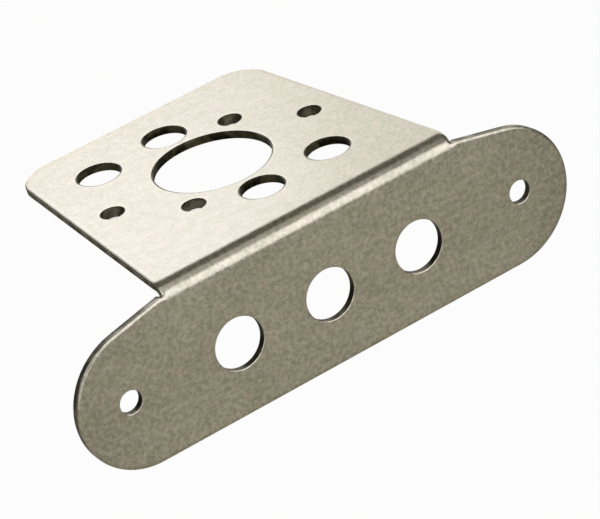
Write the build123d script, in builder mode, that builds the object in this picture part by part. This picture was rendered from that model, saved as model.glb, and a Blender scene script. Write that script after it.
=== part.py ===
from build123d import *
import os
from math import acos, atan2, degrees, hypot

# Stamped metal bracket: one blank of stainless sheet, pierced flat and bent once.
# Its upright flange is bolted flat to a wall by the two end holes. Its shelf stands out
# from the wall and carries a round fitting in the middle of a ring of bolt holes.
# X runs along the bend, Y away from the wall and Z up. The origin is on the mounting
# face, midway between the two end holes.

# Sheet and its one bend
sheet = 3.2
bend_inner_radius = 3.2
edge_roll = 0.4  # edge rolled over or broken by the punch on the side that it enters

# Flange: a bar with half-round ends, which rises into an ear on each side of the bend
flange_length = 222.2
flange_height = 57.2
hole_line = 0.4  # height of the row of holes above the bar's middle
ear_rise = 4.6  # height of an ear above the bar where it meets the bend
bend_rise = 1.4  # flat left above the bar before the bend starts
notch_radius = 1.0  # corner between an ear and the end of the bend

# Holes in the flange
end_hole = 9.3
end_hole_inset = 22.2  # from the flange's end to the hole's centre
passage_hole = 21.0
passage_pitch = 41.0
passage_count = 3

# Shelf: flat and tapered, with rounded back corners
shelf_depth = 127.0
shelf_width_at_bend = 130.2
shelf_width_at_back = 109.0
shelf_corner = 14.7
taper_run_in = 1.5  # straight part of the shelf's sides before they taper
taper_blend = 8.0

# Holes in the shelf, all laid out about the large one
fitting_hole = 46.2
bolt_hole = 17.0
screw_hole = 9.0
outer_circle = 91.0
bolt_web = 3.6  # metal between the large hole and the bolt holes before and behind it
screw_web = 5.4  # metal between the large hole and the screw holes nearest to it
collar_wall = 1.6  # the metal round a screw hole is pressed down into a short collar
collar_depth = 1.0  # below the underside of the shelf
collar_root = 0.6

# Places that follow from the sizes
bend_outer_radius = bend_inner_radius + sheet
end_radius = flange_height / 2
end_centre = flange_length / 2 - end_radius
flange_bottom = -hole_line - end_radius
shelf_top = flange_bottom + flange_height + bend_rise + bend_outer_radius
shelf_underside = shelf_top - sheet
neck = shelf_width_at_bend / 2
taper_start = bend_outer_radius + taper_run_in
ear_top = flange_bottom + flange_height + ear_rise
end_hole_place = flange_length / 2 - end_hole_inset
fitting_place = (bend_outer_radius + shelf_depth) / 2
bolt_place = (fitting_hole + bolt_hole) / 2 + bolt_web
screw_place = (fitting_hole + screw_hole) / 2 + screw_web

# Where an ear's straight top edge runs tangent into the half-round end
ear_run = end_centre - neck
ear_climb = end_radius + ear_rise
ear_reach = hypot(ear_run, ear_climb)
ear_turn = degrees(atan2(ear_climb, -ear_run) - acos(end_radius / ear_reach))

with BuildPart() as bracket:
    # The bent sheet seen from its end: flange, bend and shelf
    with BuildSketch(Plane.YZ) as section:
        with BuildLine():
            Polyline((0, shelf_top), (0, flange_bottom), (sheet, flange_bottom), (sheet, shelf_underside),
                     (shelf_depth, shelf_underside), (shelf_depth, shelf_top), (0, shelf_top))
        make_face()
        outer_corner = section.vertices().sort_by_distance((0, shelf_top))[0]
        fillet(outer_corner, bend_outer_radius)
        inner_corner = section.vertices().sort_by_distance((sheet, shelf_underside))[0]
        fillet(inner_corner, bend_inner_radius)
    extrude(amount=flange_length / 2, both=True)

    # The blank's outline seen from the front: half-round ends, ears and the neck of the bend
    with BuildSketch(Plane.XZ) as front_outline:
        with BuildLine():
            bottom = Line((0, flange_bottom), (end_centre, flange_bottom))
            end = CenterArc((end_centre, -hole_line), end_radius, -90, 90 + ear_turn)
            ear = Line(end @ 1, (neck, ear_top))
            side = Line(ear @ 1, (neck, shelf_top))
            Line(side @ 1, (0, shelf_top))
            mirror(about=Plane.YZ)
        make_face()
        for x in (-neck, neck):
            notch = front_outline.vertices().sort_by_distance((x, ear_top))[0]
            fillet(notch, notch_radius)
    extrude(amount=-shelf_depth, mode=Mode.INTERSECT)

    # The blank's outline seen from above: the shelf tapers back to its rounded corners
    with BuildSketch(Plane.XY.offset(flange_bottom)) as top_outline:
        with BuildLine():
            front = Line((0, 0), (flange_length / 2, 0))
            flange_end = Line(front @ 1, (flange_length / 2, bend_outer_radius))
            shoulder = Line(flange_end @ 1, (neck, bend_outer_radius))
            straight = Line(shoulder @ 1, (neck, taper_start))
            taper = Line(straight @ 1, (shelf_width_at_back / 2, shelf_depth))
            Line(taper @ 1, (0, shelf_depth))
            mirror(about=Plane.YZ)
        make_face()
        fillet(top_outline.vertices().group_by(Axis.Y)[-1], shelf_corner)
        for x in (-neck, neck):
            taper_foot = top_outline.vertices().sort_by_distance((x, taper_start))[0]
            fillet(taper_foot, taper_blend)
    extrude(amount=shelf_top - flange_bottom, mode=Mode.INTERSECT)

    # The punch rolls over the outline's edge on the side that it enters, all round the blank
    wall_face = bracket.faces().sort_by(Axis.Y)[0]
    bend_face = bracket.faces().filter_by(GeomType.CYLINDER).sort_by(SortBy.AREA)[-1]
    top_face = bracket.faces().sort_by(Axis.Z)[-1]
    seams = (wall_face.edges() & bend_face.edges()) + (bend_face.edges() & top_face.edges())
    fillet(wall_face.edges() + bend_face.edges() + top_face.edges() - seams, edge_roll)

    # Flange holes, pierced from the mounting face, which breaks their edges there
    with BuildSketch(Plane.XZ) as flange_holes:
        with Locations((-end_hole_place, 0), (end_hole_place, 0)):
            Circle(end_hole / 2)
        with GridLocations(passage_pitch, 0, passage_count, 1):
            Circle(passage_hole / 2)
    extrude(amount=-sheet, mode=Mode.SUBTRACT)
    chamfer(bracket.edges(Select.LAST).group_by(Axis.Y)[0], edge_roll)

    # Collars under the four screw holes, which give them more length than the sheet has
    with BuildSketch(Plane.XY.offset(shelf_underside)) as collars:
        with Locations((0, fitting_place)):
            with PolarLocations(outer_circle / 2, 2):
                Circle(screw_hole / 2 + collar_wall)
            with PolarLocations(screw_place, 2, start_angle=45):
                Circle(screw_hole / 2 + collar_wall)
    extrude(amount=-collar_depth)
    fillet(bracket.edges(Select.LAST).group_by(Axis.Z)[-1], collar_root)

    # Shelf holes, pierced from the top in the same way. Two of the bolt holes and two of the
    # screw holes share the outer circle, and the others stand closer to the large hole.
    with BuildSketch(Plane.XY.offset(shelf_top)) as shelf_holes:
        with Locations((0, fitting_place)):
            Circle(fitting_hole / 2)
            with Locations((0, -bolt_place), (0, bolt_place)):
                Circle(bolt_hole / 2)
            with PolarLocations(outer_circle / 2, 2, start_angle=135):
                Circle(bolt_hole / 2)
            with PolarLocations(outer_circle / 2, 2):
                Circle(screw_hole / 2)
            with PolarLocations(screw_place, 2, start_angle=45):
                Circle(screw_hole / 2)
    extrude(amount=-sheet - collar_depth, mode=Mode.SUBTRACT)
    chamfer(bracket.edges(Select.LAST).group_by(Axis.Z)[-1], edge_roll)

bracket.part.label = "bracket"
os.makedirs("parts", exist_ok=True)
export_step(bracket.part, "parts/bracket.step")
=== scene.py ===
import bpy
import numpy as np
from mathutils import Matrix, Vector
from mathutils.geometry import delaunay_2d_cdt


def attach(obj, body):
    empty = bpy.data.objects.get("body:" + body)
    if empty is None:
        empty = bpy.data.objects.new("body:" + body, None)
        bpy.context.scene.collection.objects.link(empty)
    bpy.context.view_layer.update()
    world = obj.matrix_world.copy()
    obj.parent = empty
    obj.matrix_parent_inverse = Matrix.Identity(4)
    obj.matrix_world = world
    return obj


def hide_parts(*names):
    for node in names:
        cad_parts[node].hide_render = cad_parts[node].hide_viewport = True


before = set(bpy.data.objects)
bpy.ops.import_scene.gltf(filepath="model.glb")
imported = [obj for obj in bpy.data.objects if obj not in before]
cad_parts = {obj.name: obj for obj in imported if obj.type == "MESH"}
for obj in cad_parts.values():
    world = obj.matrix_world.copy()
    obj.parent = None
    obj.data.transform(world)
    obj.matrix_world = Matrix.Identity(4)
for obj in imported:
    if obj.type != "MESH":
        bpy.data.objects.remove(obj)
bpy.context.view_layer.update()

# The bracket: one blank of stainless sheet, 3.2 mm thick. A punch cuts its outline and its 14
# holes, and a press folds the shelf back through a right angle. It is worked out here as the
# flat blank, in millimetres: x along the bend, s up the flange, round the bend and back along
# the shelf, and a depth below the outer face. The fold then puts every point in its place.

sheet = 3.2
bend_start = 28.912  # where the outer face leaves the flat, and the length that it takes to turn
bend_length = 11.4
half_length = 111.1  # of the flange, with its half-round ends
end_radius = 28.6
flange_bottom = -29.0
ear_corner = 32.8  # where an ear's sloping top meets the side of the bend
ear_slope = np.radians(12.611)
neck = 65.1
taper_start = bend_start + bend_length + 0.812
back_width = 54.5
back_edge = bend_start + bend_length + 119.912
notch_radius, taper_blend, shelf_corner = 1.0, 8.0, 14.7
end_hole, end_hole_place = 9.3, 88.9
passage_hole, passage_pitch = 21, 41
fitting_hole, bolt_hole, screw_hole = 46.2, 17, 9
shelf_centre = bend_start + bend_length + 59.612  # the middle of the fitting hole
in_line = 35.2  # from there to the bolt holes before and behind it
outer_circle = 45.5  # radius of the circle on which the other bolt holes and the side screw holes lie
diagonal = outer_circle / np.sqrt(2)
near_diagonal = 33.0 / np.sqrt(2)


def rounded(corners, radii, step):
    """Closed outline through corners, each turned in an arc: where the path turns by t, the arc of radius r
    starts r tan(t/2) before the corner and runs as centre + r n(h), n(h) = (sin h, -cos h) at the heading h.
    Straight runs and arcs are divided about every step. Gives the points and the normals away from the metal."""
    corners, radii = np.array(corners, float), np.array(radii, float)
    arriving = corners - np.roll(corners, 1, 0)
    heading = np.arctan2(arriving[:, 1], arriving[:, 0])
    turn = (np.roll(heading, -1) - heading + np.pi) % (2 * np.pi) - np.pi
    cut = radii * np.tan(np.abs(turn) / 2)
    start = corners - cut[:, None] * np.stack([np.cos(heading), np.sin(heading)], 1)
    side = (np.sign(turn) * radii)[:, None]
    centre = start - side * np.stack([np.sin(heading), -np.cos(heading)], 1)
    points, normals = [], []
    for i in range(len(corners)):
        parts = max(10, int(np.ceil(abs(turn[i]) * radii[i] / step)))
        h = heading[i] + turn[i] * np.linspace(0, 1, parts + 1)
        n = np.stack([np.sin(h), -np.cos(h)], 1)
        arc = centre[i] + side[i] * n
        run = start[(i + 1) % len(corners)] - arc[-1]
        parts = int(np.hypot(*run) / step)
        share = np.linspace(0, 1, parts + 1)[1:-1, None] if parts > 1 else np.zeros((0, 1))
        points += [arc[:-1] if np.hypot(*run) < 1e-3 else arc, arc[-1] + share * run]
        normals += [n[:-1] if np.hypot(*run) < 1e-3 else n, np.repeat(n[-1:], len(share), 0)]
    return np.concatenate(points), np.concatenate(normals)


def ring(x, s, diameter, step=0.9):
    """A hole's edge: a circle taken clockwise, so that the metal stays on its left, with normals to its centre."""
    angle = -np.linspace(0, 2 * np.pi, max(48, int(np.pi * diameter / step)), endpoint=False)
    out = np.stack([np.cos(angle), np.sin(angle)], 1)
    return np.array([x, s]) + diameter / 2 * out, -out


def fold(x, s, depth):
    """The blank after bending. The outer face turns by a = quarter turn (0.5 u + 0.5 smooth(u)), u = the share of the
    bend passed, so that it leaves the flats gently; adding up (sin a, cos a) along s gives (y, z) there. A point below
    that face lies depth (cos a, -sin a) from it. The ears, beyond the neck, stay flat, with y = depth and z = s."""
    steps, ear_blend = 1200, 1.6
    along = np.linspace(bend_start, bend_start + bend_length, steps + 1)
    u = (along - bend_start) / bend_length
    turned = np.pi / 4 * (u + u * u * (3 - 2 * u))
    step = bend_length / steps
    middle = (turned[1:] + turned[:-1]) / 2
    out = np.concatenate([[0], np.cumsum(np.sin(middle) * step)])
    up = bend_start + np.concatenate([[0], np.cumsum(np.cos(middle) * step)])
    angle = np.interp(s, along, turned)
    y = np.interp(s, along, out) + np.maximum(s - along[-1], 0) + depth * np.cos(angle)
    z = np.interp(s, along, up) - np.maximum(bend_start - s, 0) - depth * np.sin(angle)
    share = np.clip((np.abs(x) - neck) / ear_blend, 0, 1)
    share = share * share * (3 - 2 * share)
    return np.stack([x, y + (depth - y) * share, z + (s - z) * share], -1)


right_half = [(half_length, flange_bottom), (half_length, ear_corner - (half_length - neck) * np.tan(ear_slope)),
              (neck, ear_corner), (neck, taper_start), (back_width, back_edge)]
corner_radii = [end_radius, end_radius, notch_radius, taper_blend, shelf_corner]
outline = rounded(right_half + [(-x, s) for x, s in right_half[::-1]], corner_radii + corner_radii[::-1], 1.0)


def punched(roll_width, metal, first_wall_row=13):
    """What a punch leaves along a cut, from the outer face down: a rolled rim, which tilts gently to some 20 degrees
    and then turns over quickly, a burnished band, the torn part, which leans back a little, and a sharp far edge. The
    rim adds up (cos, sin) of its tilt, and is scaled to its width. Gives for each row of points its distance inwards
    and its depth, and for each strip between two rows the number of its metal, which is 0 outside the wall."""
    tilt = np.radians([1, 4, 8, 12, 16, 19, 22, 27, 37, 52, 68, 83])
    length = np.array([0.30, 0.28, 0.26, 0.25, 0.25, 0.24, 0.2, 0.13, 0.1, 0.09, 0.08, 0.08])
    length *= roll_width / (length * np.cos(tilt)).sum()
    inside = roll_width - np.concatenate([[0], np.cumsum(length * np.cos(tilt))])
    depth = np.concatenate([[0], np.cumsum(length * np.sin(tilt))])
    below = [0, 0, 0.03, 0.06, 0.08, 0.1, 0.14, 0.22, 0.5, roll_width + 0.5]
    inside = np.concatenate([[roll_width + 0.5], inside, below])
    depth = np.concatenate([[0], depth, [1.0, 1.3, 1.5, 2.2, 2.8, 3.1, 3.17, sheet, sheet, sheet]])
    strips = np.zeros(len(depth) - 1, int)
    strips[first_wall_row:19] = metal
    return inside, depth, strips


def collared(roll_width, narrowing):
    """The same for a screw hole: its wall runs on down a collar 1 mm long, which it enters a little narrower, and which
    then turns out into the underside. Its rim has painted shade as dark as the other holes' walls; the wall below is
    brighter."""
    inside, depth, _ = punched(roll_width, 2)
    swing = np.linspace(0, np.pi / 2, 6)
    lean = -narrowing * np.array([0.1, 0.6, 1, 0.9])
    inside = np.concatenate([[2.8], inside[1:14], lean, [0.2, 1.45, 1.6], 2.2 - 0.6 * np.cos(swing), [2.8]])
    depth = np.concatenate([depth[:14], [1.4, 2.5, 3.9, 4.12, 4.2, 4.2, 4.05], 3.8 - 0.6 * np.sin(swing), [sheet]])
    strips = np.zeros(len(depth) - 1, int)
    # Painted shade on the rim; the wall below keeps the plain sheared metal.
    strips[3:13], strips[13:17] = 2, 1
    return inside, depth, strips


# Metals: 0 is the satin of the faces, 1 the sheared edge and 2 the same cut metal painted much darker, as shade inside
# a pierced hole.
# The shelf holes' painted shade starts at row 4, up on their rolled rims.
rim_of_blank, rim_of_hole, rim_of_shelf_hole = punched(2.0, 1), punched(0.8, 2), punched(1.2, 2, 4)
# The front left screw hole is a little wider inside, as a sliver of light comes through it.
rim_of_screw_hole, rim_of_wider_hole = collared(0.7, 0.3), collared(0.7, -0.1)
edges = [(*outline, rim_of_blank)]
for x, s, diameter, rim in ((-end_hole_place, 0, end_hole, rim_of_hole), (end_hole_place, 0, end_hole, rim_of_hole),
                            (-passage_pitch, 0, passage_hole, rim_of_hole), (0, 0, passage_hole, rim_of_hole),
                            (passage_pitch, 0, passage_hole, rim_of_hole),
                            (0, shelf_centre, fitting_hole, rim_of_shelf_hole),
                            (0, shelf_centre - in_line, bolt_hole, rim_of_shelf_hole),
                            (0, shelf_centre + in_line, bolt_hole, rim_of_shelf_hole),
                            (-diagonal, shelf_centre + diagonal, bolt_hole, rim_of_shelf_hole),
                            (diagonal, shelf_centre - diagonal, bolt_hole, rim_of_shelf_hole),
                            (-outer_circle, shelf_centre, screw_hole, rim_of_screw_hole),
                            (outer_circle, shelf_centre, screw_hole, rim_of_screw_hole),
                            (near_diagonal, shelf_centre + near_diagonal, screw_hole, rim_of_screw_hole),
                            (-near_diagonal, shelf_centre - near_diagonal, screw_hole, rim_of_wider_hole)):
    edges.append((*ring(x, s, diameter), rim))

flat_x, flat_s, flat_depth, rims, quads, quad_metal, rim_points, base = [], [], [], [], [], [], [], 0
for points, normals, (inside, depth, strips) in edges:
    rows, columns = len(inside), len(points)
    grid = points[None] - inside[:, None, None] * normals[None]
    flat_x.append(grid[..., 0].ravel())
    flat_s.append(grid[..., 1].ravel())
    flat_depth.append(np.repeat(depth, columns))
    rims.append(np.repeat(inside, columns))
    row, column = np.meshgrid(np.arange(rows - 1), np.arange(columns), indexing="ij")
    after = (column + 1) % columns
    corner = [row * columns + column, (row + 1) * columns + column, (row + 1) * columns + after, row * columns + after]
    quads.append(base + np.stack(corner, -1).reshape(-1, 4))
    quad_metal.append(np.repeat(strips, columns))
    rim_points.append(np.stack([base + np.arange(columns), base + (rows - 1) * columns + np.arange(columns)], 1))
    base += rows * columns


# Both faces between those edges. Rows of points across the bend let it curve.
def within(points, loop):
    """Which points lie inside a closed loop: those with an odd number of its sides level with them to the right."""
    x, s = points[:, :1], points[:, 1:]
    after = np.roll(loop, -1, 0)
    level = (loop[:, 1] > s) != (after[:, 1] > s)
    rise = np.where(after[:, 1] == loop[:, 1], 1, after[:, 1] - loop[:, 1])
    meets = loop[:, 0] + (s - loop[:, 1]) * (after[:, 0] - loop[:, 0]) / rise
    return (level & (meets > x)).sum(1) % 2 == 1


rows_s = bend_start + bend_length * np.linspace(0, 1, 33)
rows_s = np.concatenate([[bend_start - 0.5], rows_s, [bend_start + bend_length + 0.5]])
spacing, clear_of_edge = 3.0, 3.5
bend_points = np.stack(np.meshgrid(np.arange(-90, 91, spacing), rows_s), -1).reshape(-1, 2)
bend_points = bend_points[within(bend_points, outline[0] - clear_of_edge * outline[1])]

rim_ids = np.concatenate(rim_points)
all_x, all_s = np.concatenate(flat_x), np.concatenate(flat_s)
plan = np.concatenate([np.stack([all_x, all_s], 1)[rim_ids[:, 0]], bend_points])
counts = [len(p) for p in rim_points]
owner = np.concatenate([np.repeat(np.arange(len(counts)), counts), np.full(len(bend_points), -1)])
first = np.repeat(np.cumsum(counts) - counts, counts)
number = np.arange(len(first))
ring_sides = np.stack([number, first + (number - first + 1) % np.repeat(counts, counts)], 1)
number = len(first) + np.arange(len(bend_points) - 1)
same_row = np.hypot(*(bend_points[1:] - bend_points[:-1]).T) < spacing + 0.5
row_sides = np.stack([number, number + 1], 1)[same_row]
filled = delaunay_2d_cdt(plan.tolist(), np.concatenate([ring_sides, row_sides]).tolist(), [], 0, 1e-6)
tri = np.array([o[0] for o in filled[3]])[np.array(filled[2])]
spans_hole = (owner[tri[:, 0]] > 0) & (owner[tri] == owner[tri[:, :1]]).all(1)
tri = tri[within(plan[tri].mean(1), plan[:counts[0]]) & ~spans_hole]

extra = len(bend_points)
outer_ids = np.concatenate([rim_ids[:, 0], base + np.arange(extra)])
inner_ids = np.concatenate([rim_ids[:, 1], base + extra + np.arange(extra)])
x = np.concatenate([all_x, bend_points[:, 0], bend_points[:, 0]])
s = np.concatenate([all_s, bend_points[:, 1], bend_points[:, 1]])
deep = np.concatenate(flat_depth + [np.zeros(extra), np.full(extra, sheet)])
rim = np.concatenate(rims + [np.full(2 * extra, 3.0)])
tris = np.concatenate([outer_ids[tri], inner_ids[tri][:, ::-1]])
quads, quad_metal = np.concatenate(quads), np.concatenate(quad_metal)

mesh = bpy.data.meshes.new("folded_sheet")
mesh.from_pydata((fold(x, s, deep) / 1000).tolist(), [], quads.tolist() + tris.tolist())
metal = np.concatenate([quad_metal, np.zeros(len(tris), int)])
mesh.polygons.foreach_set("material_index", metal.astype(np.int32))
mesh.polygons.foreach_set("use_smooth", np.ones(len(mesh.polygons), bool))
blank_place = mesh.attributes.new("blank_place", "FLOAT_VECTOR", "POINT")
blank_place.data.foreach_set("vector", (np.stack([x, s, deep], 1) / 1000).astype(np.float32).ravel())
rim_distance = mesh.attributes.new("rim_distance", "FLOAT", "POINT")
rim_distance.data.foreach_set("value", (rim / 1000).astype(np.float32))
bracket = bpy.data.objects.new("folded_bracket", mesh)
bpy.context.scene.collection.objects.link(bracket)


class Wire:
    """One output in a node tree. Arithmetic on it adds Math nodes, and node() adds any other kind."""

    def __init__(self, tree, socket=None):
        self.tree, self.socket = tree, socket

    def node(self, kind, settings, sockets, out=0):
        """A node of that kind, its settings first, then a value or a wire for each socket, by name or number."""
        made = self.tree.nodes.new(kind)
        for name, value in settings.items():
            setattr(made, name, value)
        for key, value in sockets.items():
            if isinstance(value, Wire):
                self.tree.links.new(value.socket, made.inputs[key])
            else:
                made.inputs[key].default_value = value
        return Wire(self.tree, made.outputs[out] if made.outputs else None)

    def math(self, operation, *values):
        return self.node("ShaderNodeMath", {"operation": operation}, dict(enumerate(values)))

    def __add__(self, other):
        return self.math("ADD", self, other)

    def __sub__(self, other):
        return self.math("SUBTRACT", self, other)

    def __rsub__(self, other):
        return self.math("SUBTRACT", other, self)

    def __mul__(self, other):
        return self.math("MULTIPLY", self, other)

    __radd__ = __add__
    __rmul__ = __mul__

    def mix(self, a, b):
        """Colour a where this wire is 0 and b where it is 1."""
        return self.node("ShaderNodeMix", {"data_type": "RGBA"}, {0: self, 6: a, 7: b}, 2)

    def between(self, low, high):
        """This wire mapped smoothly to 0 at low and 1 at high."""
        return self.node("ShaderNodeMapRange", {"interpolation_type": "SMOOTHSTEP"}, {0: self, 1: low, 2: high})


def noise(place, size, detail, seed):
    """Cloudy noise on the blank, about 0.5, with features of about this size in millimetres."""
    shifted = place.node("ShaderNodeVectorMath", {"operation": "ADD"}, {0: place, 1: (seed, 2 * seed, 0)})
    return place.node("ShaderNodeTexNoise", {}, {"Vector": shifted, "Scale": 1000 / size,
                                                 "Detail": detail, "Roughness": 0.55})


# The faces keep the mill's satin: warm grey, mottled by about a millimetre, with faint broader
# clouds of olive and straw, a few dark specks, and rims that the die has pressed smoother. The
# shelf is more even than the flange, and the flange's ends carry painted shade, a little darker.
satin = bpy.data.materials.new("satin_stainless")
satin.use_nodes = True
satin.node_tree.nodes.clear()
w = Wire(satin.node_tree)
place = w.node("ShaderNodeAttribute", {"attribute_name": "blank_place"}, {}, 1)
near_rim = 1 - w.node("ShaderNodeAttribute", {"attribute_name": "rim_distance"}, {}, 2).between(0.0004, 0.0022)
mottle = noise(place, 1.9, 2.0, 0.31)
grain = noise(place, 0.8, 1.0, 0.77)
patches = noise(place, 5.0, 2.0, 1.43)
clouds = noise(place, 26.0, 3.0, 2.19)
tone = (mottle.between(0.34, 0.66) * 0.55 + grain.between(0.3, 0.7) * 0.12
        + patches.between(0.35, 0.65) * 0.18 + clouds.between(0.35, 0.65) * 0.15)
evenness = w.node("ShaderNodeSeparateXYZ", {}, {0: place}, 1).between(0.030, 0.044) * 0.45
tone = tone + (0.5 - tone) * evenness
across = w.math("ABSOLUTE", w.node("ShaderNodeSeparateXYZ", {}, {0: place}, 0))
# Painted shade: the flange's colour darkens towards both of its ends, from 72 mm out from the middle.
tone = tone - across.between(0.072, 0.108) * 0.22
colour = tone.mix((0.50, 0.463, 0.362, 1), (0.845, 0.79, 0.64, 1))
tint = patches.between(0.40, 0.62) * 0.5 + noise(place, 2.6, 1.0, 3.3).between(0.38, 0.62) * 0.5
colour = tint.node("ShaderNodeMix", {"data_type": "RGBA", "blend_type": "MULTIPLY"},
                   {0: 1.0, 6: colour, 7: tint.mix((0.965, 1.0, 0.96, 1), (1.03, 0.995, 1.02, 1))}, 2)
speck = noise(place, 0.8, 0.0, 4.7).between(0.70, 0.78)
colour = (speck * 0.35).mix(colour, (0.22, 0.20, 0.15, 1))
surface = w.node("ShaderNodeBump", {}, {"Strength": 1.0, "Distance": 0.000022, "Height": mottle})
shine = w.node("ShaderNodeBsdfPrincipled", {}, {
    "Base Color": colour, "Metallic": 1.0, "Normal": surface,
    "Roughness": 0.235 + mottle.between(0.3, 0.7) * 0.05 + clouds * 0.05 - near_rim * 0.04})
w.node("ShaderNodeOutputMaterial", {}, {"Surface": shine})
bracket.data.materials.append(satin)


def cut_metal(name, shade, deep_shade):
    """The wall of a cut: a brighter burnished band by the punch's side and torn, darker metal below it, both streaked
    straight down through the sheet and stained in patches. Streaks are noise squeezed along the depth."""
    made = bpy.data.materials.new(name)
    made.use_nodes = True
    made.node_tree.nodes.clear()
    w = Wire(made.node_tree)
    place = w.node("ShaderNodeAttribute", {"attribute_name": "blank_place"}, {}, 1)
    streaked = w.node("ShaderNodeVectorMath", {"operation": "MULTIPLY"}, {0: place, 1: (1, 1, 0.12)})
    streaks = noise(streaked, 0.5, 2.0, 5.1)
    torn = w.node("ShaderNodeSeparateXYZ", {}, {0: place}, 2) + noise(place, 2.5, 2.0, 6.2) * 0.0012
    torn = torn.between(0.0014, 0.0024)
    stained = noise(place, 7.0, 1.0, 7.3).between(0.37, 0.57)
    colour = (streaks.between(0.3, 0.7) * 0.2 + torn * 0.2 + stained * 0.6).mix(shade, deep_shade)
    surface = w.node("ShaderNodeBump", {}, {"Strength": 1.0, "Distance": 0.00004, "Height": streaks})
    cut = w.node("ShaderNodeBsdfPrincipled", {}, {"Base Color": colour, "Metallic": 1.0, "Normal": surface,
                                                  "Roughness": 0.34 + torn * 0.16})
    w.node("ShaderNodeOutputMaterial", {}, {"Surface": cut})
    return made


# Painted shade: the second is the same cut metal, much darker, for the walls inside the holes, where shade falls.
for name, shade, deep_shade in (("sheared_edge", (0.60, 0.555, 0.42, 1), (0.12, 0.11, 0.075, 1)),
                                ("pierced_wall_painted_shade", (0.20, 0.18, 0.11, 1), (0.006, 0.005, 0.003, 1))):
    bracket.data.materials.append(cut_metal(name, shade, deep_shade))
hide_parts("bracket")
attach(bracket, "root")


# The studio: a pale floor well below the bracket, which hangs as if held by its bolts, a white
# backdrop board behind it and to its right, softboxes around it, and white in every direction
# that the camera looks.
def card(name, centre, across, up, colour, white_to_camera, white_in_gloss):
    """A flat rectangle, centre +- across +- up, painted in a matt colour. To the camera, and in metal and glass, it
    shows plain white by these shares, and for the rest it is lit like anything else."""
    centre, across, up = np.array(centre), np.array(across), np.array(up)
    card_mesh = bpy.data.meshes.new(name)
    corners = [(centre + i * across + j * up).tolist() for i, j in ((-1, -1), (1, -1), (1, 1), (-1, 1))]
    card_mesh.from_pydata(corners, [], [(0, 1, 2, 3)])
    made = bpy.data.objects.new(name, card_mesh)
    bpy.context.scene.collection.objects.link(made)
    paint = bpy.data.materials.new(name + "_paint")
    paint.use_nodes = True
    paint.node_tree.nodes.clear()
    w = Wire(paint.node_tree)
    matt = w.node("ShaderNodeBsdfDiffuse", {}, {"Color": colour})
    to_camera = w.node("ShaderNodeLightPath", {}, {}, "Is Camera Ray")
    in_gloss = w.math("MAXIMUM", w.node("ShaderNodeLightPath", {}, {}, "Is Glossy Ray"),
                      w.node("ShaderNodeLightPath", {}, {}, "Is Transmission Ray"))
    glow = w.node("ShaderNodeEmission", {}, {"Color": (1, 1, 1, 1), "Strength": 1.0})
    share = to_camera * white_to_camera + in_gloss * white_in_gloss
    shown = w.node("ShaderNodeMixShader", {}, {0: share, 1: matt, 2: glow})
    w.node("ShaderNodeOutputMaterial", {}, {"Surface": shown})
    card_mesh.materials.append(paint)


card("floor", (0, 0, -0.4), (6, 0, 0), (0, 6, 0), (0.68, 0.66, 0.565, 1), 0.97, 0.0)
card("backdrop", (3, 3, 1.3), (2.8, 0, 0), (0, 0, 1.7), (0.9, 0.9, 0.9, 1), 1.0, 1.0)


def softbox(name, azimuth, elevation, width, height, radiance, tint=(1, 1, 1), away=1.4):
    """An area lamp facing the bracket. Its direction and its spread are in degrees, the azimuth from +Y
    towards +X. A surface that mirrors it shows it at this radiance, where 1 is white: a lamp of area A and power P
    shows P / (pi A)."""
    a, e = np.radians([azimuth, elevation])
    lamp = bpy.data.lights.new(name, "AREA")
    lamp.shape = "RECTANGLE"
    lamp.size, lamp.size_y = 2 * away * np.tan(np.radians([width, height]) / 2)
    lamp.energy = radiance * np.pi * lamp.size * lamp.size_y
    lamp.color = tint
    made = bpy.data.objects.new(name, lamp)
    bpy.context.scene.collection.objects.link(made)
    way = Vector((np.cos(e) * np.sin(a), np.cos(e) * np.cos(a), np.sin(e)))
    made.location = way * away + Vector((0, 0.03, 0))
    made.rotation_euler = way.to_track_quat("Z", "Y").to_euler()
    made.visible_camera = False


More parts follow.
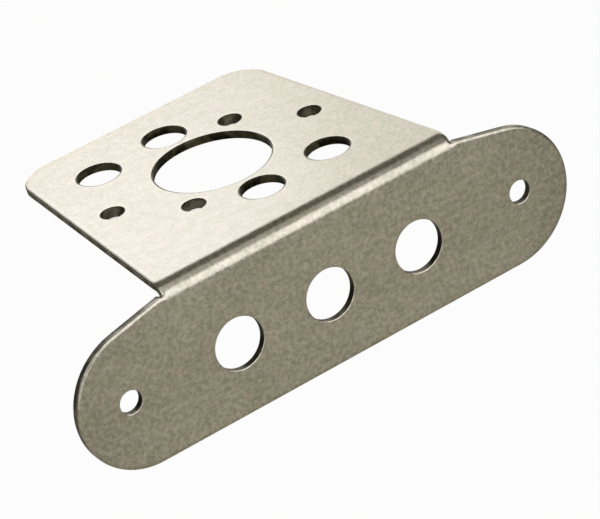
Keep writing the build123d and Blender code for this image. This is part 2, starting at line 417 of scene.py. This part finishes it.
softbox("back_softbox", 11, 34, 31, 19, 0.77, (0.955, 0.98, 1.25), 1.25)
softbox("low_back_softbox", 12, 0, 40, 18, 0.9, (1, 1, 1.1), 1.6)
softbox("front_softbox", 158, 18.5, 50, 47, 1.27, (0.98, 0.98, 1.08))
softbox("low_softbox", 191, -8, 20, 14, 0.95, (1, 1, 1.1), 1.2)
softbox("left_softbox", 222, 30, 40, 36, 1.1, (1, 1, 1.1))
softbox("top_softbox", 190, 68, 60, 34, 0.45)

world = bpy.data.worlds.new("studio")
bpy.context.scene.world = world
world.use_nodes = True
world.node_tree.nodes.clear()
w = Wire(world.node_tree)
seen = w.node("ShaderNodeLightPath", {}, {}, "Is Camera Ray")
room = w.node("ShaderNodeBackground", {}, {"Color": (0.125, 0.125, 0.11, 1), "Strength": 1.0})
backdrop = w.node("ShaderNodeBackground", {}, {"Color": (1, 1, 1, 1), "Strength": 1.0})
shown = w.node("ShaderNodeMixShader", {}, {0: seen, 1: room, 2: backdrop})
w.node("ShaderNodeOutputWorld", {}, {"Surface": shown})

# The camera, where the photograph was taken from: long lens, tipped to its left.
azimuth, elevation, tilt = np.radians([26.998, 27.894, -14.775])
ahead = np.array([np.sin(azimuth) * np.cos(elevation), np.cos(azimuth) * np.cos(elevation), -np.sin(elevation)])
right = np.array([np.cos(azimuth), -np.sin(azimuth), 0])
down = np.cross(ahead, right)
right, down = np.cos(tilt) * right - np.sin(tilt) * down, np.sin(tilt) * right + np.cos(tilt) * down
camera = bpy.data.objects.new("camera", bpy.data.cameras.new("camera"))
bpy.context.scene.collection.objects.link(camera)
camera_place = np.array([-0.56194, -1.08644, 0.66451])
axes = np.eye(4)
axes[:3, :4] = np.stack([right, -down, -ahead, camera_place], 1)
camera.matrix_world = Matrix(axes.tolist())
picture_width, focal_length = 600, 3779.379  # both in pixels
camera.data.sensor_width = 36.0
camera.data.lens = focal_length / picture_width * camera.data.sensor_width
camera.data.shift_x, camera.data.shift_y = -0.5 / picture_width, 0.5 / picture_width
bpy.context.scene.camera = camera
bpy.context.scene.view_settings.view_transform = "Standard"
